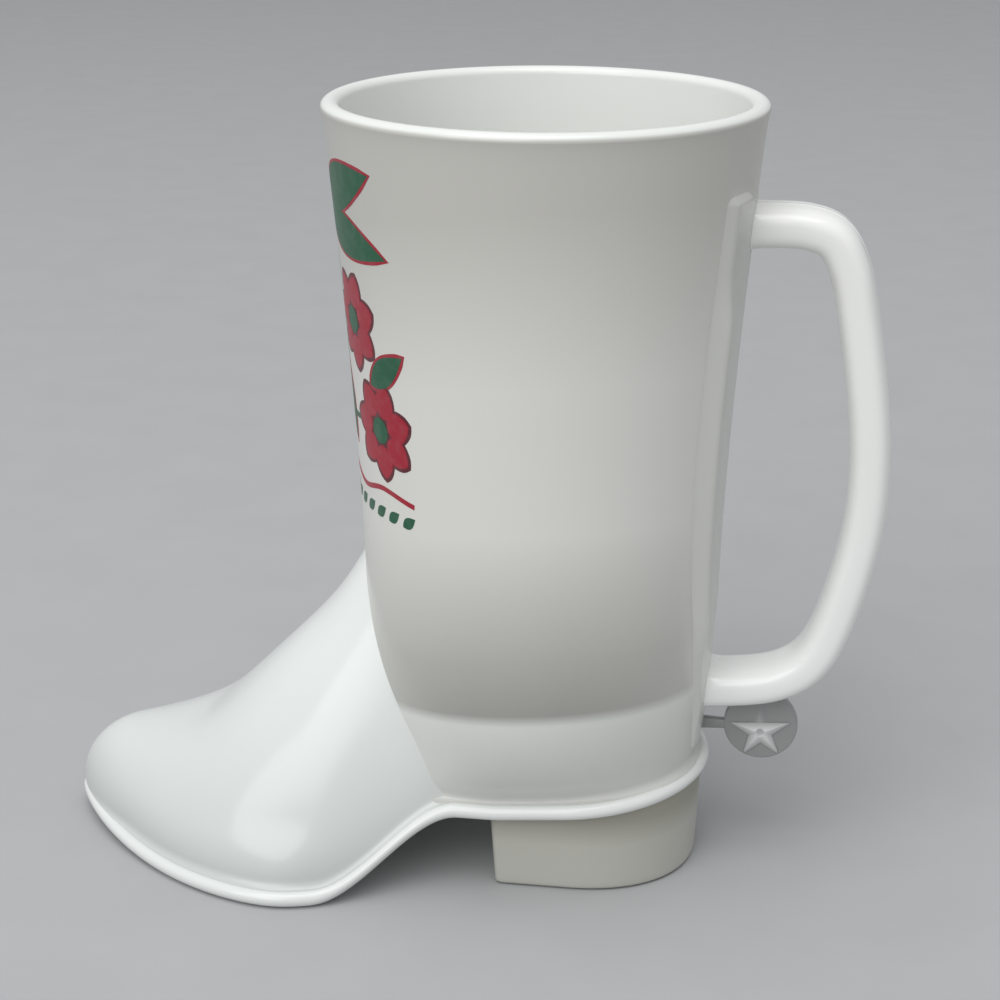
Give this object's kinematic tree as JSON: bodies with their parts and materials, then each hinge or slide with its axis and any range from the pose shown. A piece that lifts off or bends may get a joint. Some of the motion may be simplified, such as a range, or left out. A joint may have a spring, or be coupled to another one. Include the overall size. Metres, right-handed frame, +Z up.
{
  "type": "boot-shaped mug",
  "caption": "Boot-shaped drinking mug with a flared open shaft, pointed foot, rolled welt, block heel, back handle and a small spur wheel.",
  "frame": {"origin": "on the cup's round axis, on the flat underside of the heel, at table level", "axes": "+Z up along the cup's axis, -X towards the toe, +X towards the handle, Y across the boot"},
  "size_m": [0.179, 0.089, 0.165],
  "materials": {
    "cup_plastic": "glossy white, slightly translucent",
    "boot_plastic": "glossy bright white",
    "heel_plastic": "satin cream white",
    "spur_plastic": "frosted translucent white"
  },
  "bodies": {
    "root": {"drinking_cup": "cup_plastic", "back_strap": "cup_plastic", "handle": "boot_plastic", "foot": "boot_plastic", "welt": "boot_plastic", "sole": "boot_plastic", "heel": "heel_plastic", "spur_shank": "spur_plastic", "spur_rowel": "spur_plastic"}
  },
  "joints": []
}
